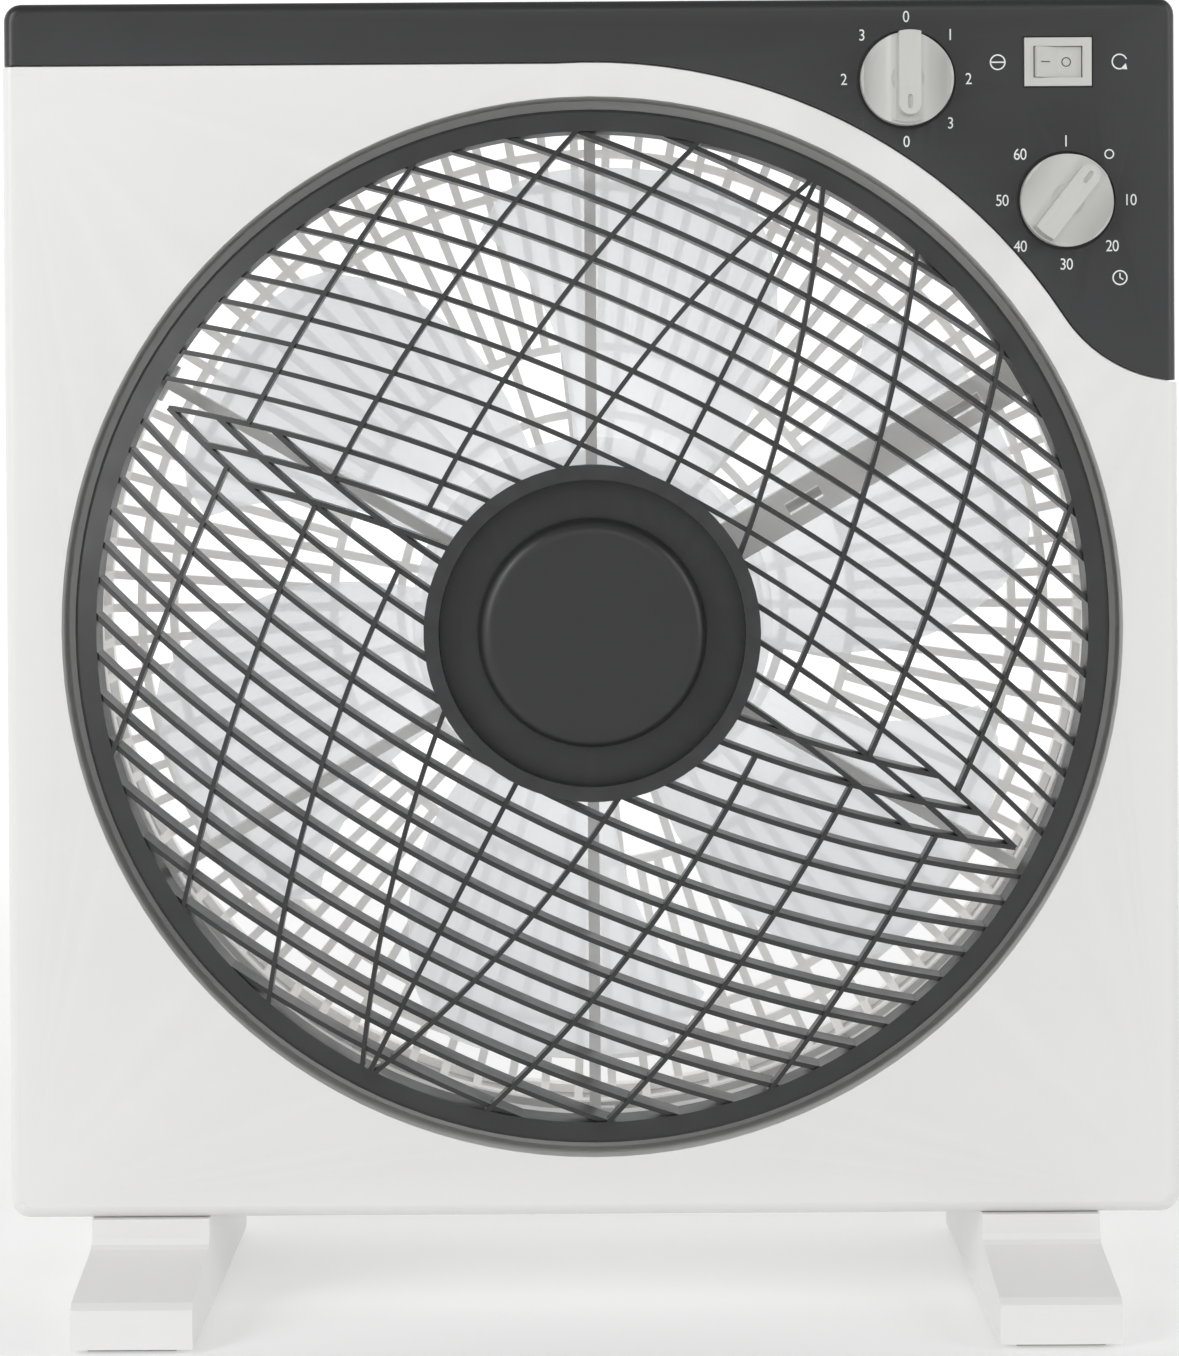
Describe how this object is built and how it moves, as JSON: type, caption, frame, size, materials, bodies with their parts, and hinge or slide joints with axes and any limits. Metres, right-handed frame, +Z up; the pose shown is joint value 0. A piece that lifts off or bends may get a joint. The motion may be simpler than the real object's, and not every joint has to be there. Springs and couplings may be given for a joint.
{
  "type": "box fan",
  "caption": "Square box fan with a turning louver grille, clear blades, knob controls on a dark top panel and two feet.",
  "frame": {"origin": "centre of the bounding box's footprint, on the surface that the foot pads rest on", "axes": "+Z up, front towards -Y, +X to the right as seen from the front"},
  "size_m": [0.357, 0.155, 0.3998],
  "materials": {
    "bearing_bronze": "sintered",
    "clear_plastic": "milky and translucent",
    "copper": "enamelled wire",
    "cream_plastic": "satin",
    "dark_plastic": "satin",
    "grille_plastic": "satin",
    "inner_plastic": "matt",
    "lamination_steel": "stacked sheets",
    "lead_sheath": "matt",
    "motor_steel": "zinc plated",
    "rubber": "matt",
    "screw_steel": "zinc plated",
    "shaft_steel": "ground",
    "white_plastic": "fine satin texture"
  },
  "bodies": {
    "housing": {"front_housing": "white_plastic", "control_panel": "dark_plastic", "rear_housing": "white_plastic", "rear_grille": "grille_plastic", "louver_bracket": "grille_plastic", "foot_left": "white_plastic", "foot_right": "white_plastic", "foot_pads": "rubber", "motor_front_shell": "motor_steel", "motor_rear_shell": "motor_steel", "stator_core": "lamination_steel", "stator_coils": "copper", "bearing_front": "bearing_bronze", "bearing_rear": "bearing_bronze", "motor_tie_screws": "screw_steel", "motor_mount_screws": "screw_steel", "louver_motor_case": "motor_steel", "louver_motor_cover": "grille_plastic", "louver_motor_screws": "screw_steel", "cover_screws": "screw_steel", "speed_switch": "inner_plastic", "speed_switch_nut": "screw_steel", "timer_case": "inner_plastic", "timer_nut": "screw_steel", "rocker_frame": "cream_plastic", "capacitor": "inner_plastic", "terminal_block": "cream_plastic", "cord_gland": "rubber", "supply_lead": "lead_sheath", "fan_motor_lead": "lead_sheath", "louver_motor_lead": "lead_sheath", "lead_clips": "white_plastic", "housing_screws": "screw_steel", "panel_screws": "screw_steel", "foot_screws": "screw_steel", "grille_screws": "screw_steel", "bracket_screws": "screw_steel"},
    "impeller": {"impeller": "clear_plastic", "motor_shaft": "shaft_steel", "rotor": "lamination_steel", "blade_nut": "dark_plastic", "drive_pin": "screw_steel"},
    "louver": {"louver_grille": "dark_plastic", "hub_cap": "dark_plastic", "hub_screw": "screw_steel", "louver_shaft": "shaft_steel"},
    "speed_knob": {"speed_knob": "cream_plastic", "speed_shaft": "shaft_steel"},
    "timer_knob": {"timer_knob": "cream_plastic", "timer_shaft": "shaft_steel"},
    "rocker": {"rocker_button": "cream_plastic"}
  },
  "joints": [
    {"name": "fan_spin", "type": "hinge", "parent": "housing", "child": "impeller", "pos_m": [0, 0.0195, 0.2087], "axis": [0, 1, 0], "continuous": true},
    {"name": "louver_spin", "type": "hinge", "parent": "housing", "child": "louver", "pos_m": [0, -0.0355, 0.2087], "axis": [0, 1, 0], "continuous": true},
    {"name": "speed_turn", "type": "hinge", "parent": "housing", "child": "speed_knob", "pos_m": [0.0961, -0.0405, 0.3743], "axis": [0, 1, 0], "continuous": true},
    {"name": "timer_turn", "type": "hinge", "parent": "housing", "child": "timer_knob", "pos_m": [0.1444, -0.0405, 0.3374], "axis": [0, 1, 0], "range_deg": [-38, 276]},
    {"name": "rocker_tilt", "type": "hinge", "parent": "housing", "child": "rocker", "pos_m": [0.142, -0.0388, 0.3794], "axis": [0, 0, -1], "range_deg": [0, 16]}
  ]
}
